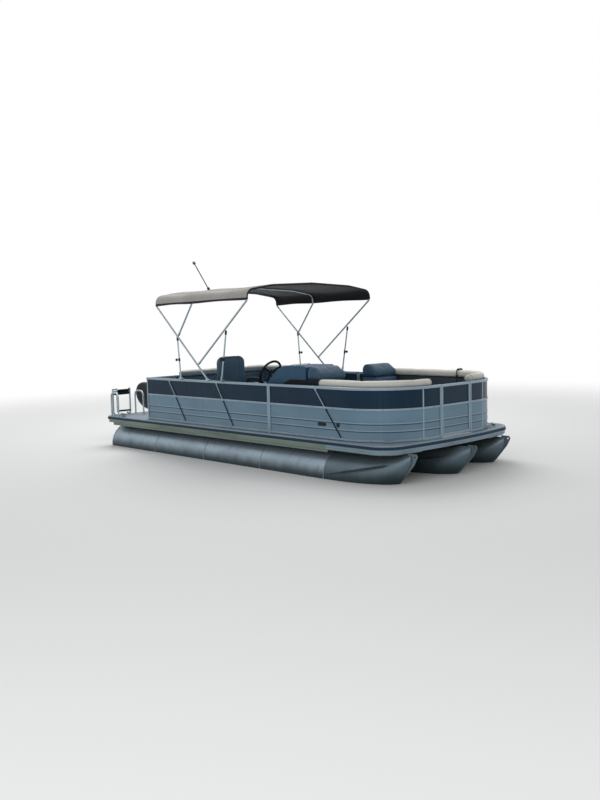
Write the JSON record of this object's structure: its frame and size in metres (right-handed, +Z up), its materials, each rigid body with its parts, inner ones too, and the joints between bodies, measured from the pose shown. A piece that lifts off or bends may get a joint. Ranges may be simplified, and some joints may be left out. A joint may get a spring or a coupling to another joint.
{
  "type": "pontoon boat",
  "caption": "Pontoon boat on three aluminium tubes with a fenced deck, lounge seats, helm, folding sun top, boarding ladder and tilting outboard motor.",
  "frame": {"origin": "at the waterline, amidships, on the centreline", "axes": "+X to the bow, +Y to port, +Z up"},
  "size_m": [7.128, 2.606, 3.654],
  "materials": {
    "tube_aluminium": "mill finish, faintly stained",
    "keel_aluminium": "mill finish",
    "frame_aluminium": "mill finish",
    "skirt_metal": "dull",
    "rub_rail": "satin",
    "rub_insert": "matt",
    "rail_aluminium": "satin anodised",
    "panel_lower": "satin",
    "panel_upper": "satin",
    "bimini_tube": "satin",
    "canopy_cloth": "woven acrylic",
    "deck_vinyl": "woven vinyl",
    "plywood": "treated",
    "console_shell": "satin",
    "lounge_base": "roto-moulded",
    "cream_vinyl": "vinyl",
    "blue_vinyl": "vinyl",
    "motor_black": "gloss",
    "propeller_alloy": "satin",
    "wheel_rubber": "matt",
    "black_plastic": "matt"
  },
  "bodies": {
    "hull": {"float_tubes": "tube_aluminium", "nosecones": "tube_aluminium", "keels": "keel_aluminium", "lifting_strakes": "tube_aluminium", "tube_risers": "frame_aluminium", "cross_members": "frame_aluminium", "deck_board": "plywood", "flooring": "deck_vinyl", "rub_rail": "rub_rail", "rub_insert": "rub_insert", "side_skirts": "skirt_metal", "fence_frame_starboard_aft": "rail_aluminium", "fence_frame_starboard_bow": "rail_aluminium", "fence_frame_port_aft": "rail_aluminium", "fence_frame_port_bow": "rail_aluminium", "fence_frame_stern": "rail_aluminium", "fence_skins_lower": "panel_lower", "fence_skins_upper": "panel_upper", "hinge_fittings": "rail_aluminium", "stern_handrails": "rail_aluminium", "bimini_rear_bow": "bimini_tube", "bimini_rear_struts": "bimini_tube", "canopy": "canopy_cloth", "light_pole": "black_plastic", "helm_console": "console_shell", "chair_pedestal": "rail_aluminium", "lounge_bases": "lounge_base", "lounge_backrests": "cream_vinyl", "lounge_headrests": "blue_vinyl", "seat_cushions": "cream_vinyl", "motor_pod": "frame_aluminium", "clamp_brackets": "motor_black", "deck_cleats": "rail_aluminium"},
    "motor_swivel": {"swivel_bracket": "motor_black"},
    "motor": {"motor_leg": "motor_black", "motor_cowl": "motor_black", "gearcase": "motor_black"},
    "propeller": {"propeller": "propeller_alloy"},
    "helm_wheel": {"steering_wheel": "wheel_rubber"},
    "captain_seat": {"captain_chair": "blue_vinyl"},
    "bow_gate": {"bow_gate_frame": "rail_aluminium", "bow_gate_skin_lower": "panel_lower", "bow_gate_skin_upper": "panel_upper"},
    "port_gate": {"port_gate_frame": "rail_aluminium", "port_gate_skin_lower": "panel_lower", "port_gate_skin_upper": "panel_upper"},
    "stern_gate": {"stern_gate_frame": "rail_aluminium", "stern_gate_skin_lower": "panel_lower", "stern_gate_skin_upper": "panel_upper"},
    "ladder_upper": {"ladder_upper": "rail_aluminium"},
    "ladder_lower": {"ladder_lower": "rail_aluminium"},
    "bimini_front": {"bimini_front_bow": "bimini_tube"},
    "bimini_mid": {"bimini_mid_bow": "bimini_tube"},
    "front_strut_starboard": {"front_strut_starboard": "bimini_tube"},
    "front_strut_port": {"front_strut_port": "bimini_tube"},
    "seat_lid_starboard_bow": {"seat_lid_starboard_bow": "cream_vinyl"},
    "seat_lid_port_bow": {"seat_lid_port_bow": "cream_vinyl"},
    "seat_lid_port_aft": {"seat_lid_port_aft": "cream_vinyl"}
  },
  "joints": [
    {"name": "motor_tilt", "type": "hinge", "parent": "hull", "child": "motor_swivel", "pos_m": [-3.06, 0, 0.392], "axis": [0, 1, 0], "range_deg": [0, 66]},
    {"name": "motor_steer", "type": "hinge", "parent": "motor_swivel", "child": "motor", "pos_m": [-3.19, 0, 0.2], "axis": [0, 0, 1], "range_deg": [-30, 30]},
    {"name": "propeller_spin", "type": "hinge", "parent": "motor", "child": "propeller", "pos_m": [-3.525, 0, -0.495], "axis": [-1, 0, 0], "continuous": true},
    {"name": "helm_wheel_turn", "type": "hinge", "parent": "hull", "child": "helm_wheel", "pos_m": [0.42, -0.79, 1.235], "axis": [-0.8829, 0, 0.4695], "range_deg": [-540, 540]},
    {"name": "captain_chair_swivel", "type": "hinge", "parent": "hull", "child": "captain_seat", "pos_m": [-0.225, -0.75, 0.81], "axis": [0, 0, 1], "continuous": true},
    {"name": "bow_gate_swing", "type": "hinge", "parent": "hull", "child": "bow_gate", "pos_m": [2.898, 0.296, 0.8], "axis": [0, 0, -1], "range_deg": [0, 90]},
    {"name": "port_gate_swing", "type": "hinge", "parent": "hull", "child": "port_gate", "pos_m": [0.252, 1.178, 0.8], "axis": [0, 0, -1], "range_deg": [0, 90]},
    {"name": "stern_gate_swing", "type": "hinge", "parent": "hull", "child": "stern_gate", "pos_m": [-1.912, -1.16, 0.8], "axis": [0, 0, -1], "range_deg": [0, 90]},
    {"name": "ladder_fold", "type": "hinge", "parent": "hull", "child": "ladder_upper", "pos_m": [-3.01, -1.045, 0.5], "axis": [0, -1, 0], "range_deg": [0, 180]},
    {"name": "ladder_extend", "type": "hinge", "parent": "ladder_upper", "child": "ladder_lower", "pos_m": [-2.93, -1.045, 0.9], "axis": [0, -1, 0], "range_deg": [0, 180]},
    {"name": "bimini_front_fold", "type": "hinge", "parent": "hull", "child": "bimini_front", "pos_m": [-0.61409, 0, 1.35912], "axis": [0, -1, 0], "range_deg": [0, 80], "deforming": ["canopy"]},
    {"name": "bimini_mid_fold", "type": "hinge", "parent": "hull", "child": "bimini_mid", "pos_m": [-1.07409, 0, 1.76512], "axis": [0, -1, 0], "range_deg": [0, 70]},
    {"name": "front_strut_starboard_fold", "type": "hinge", "parent": "hull", "child": "front_strut_starboard", "pos_m": [-0.106, -1.222, 1.154], "axis": [0, 1, 0], "range_deg": [0, 74]},
    {"name": "front_strut_port_fold", "type": "hinge", "parent": "hull", "child": "front_strut_port", "pos_m": [-0.106, 1.222, 1.154], "axis": [0, 1, 0], "range_deg": [0, 74]},
    {"name": "seat_lid_starboard_bow_lift", "type": "hinge", "parent": "hull", "child": "seat_lid_starboard_bow", "pos_m": [1.948, -1.028, 0.898], "axis": [1, 0, 0], "range_deg": [0, 80]},
    {"name": "seat_lid_port_bow_lift", "type": "hinge", "parent": "hull", "child": "seat_lid_port_bow", "pos_m": [1.455, 1.028, 0.898], "axis": [-1, 0, 0], "range_deg": [0, 80]},
    {"name": "seat_lid_port_aft_lift", "type": "hinge", "parent": "hull", "child": "seat_lid_port_aft", "pos_m": [-0.62, 1.028, 0.898], "axis": [-1, 0, 0], "range_deg": [0, 80]}
  ],
  "couplings": [
    {"joint": "helm_wheel_turn", "follows": "motor_steer", "ratio": 18},
    {"joint": "bimini_mid_fold", "follows": "bimini_front_fold", "ratio": 0.875}
  ]
}
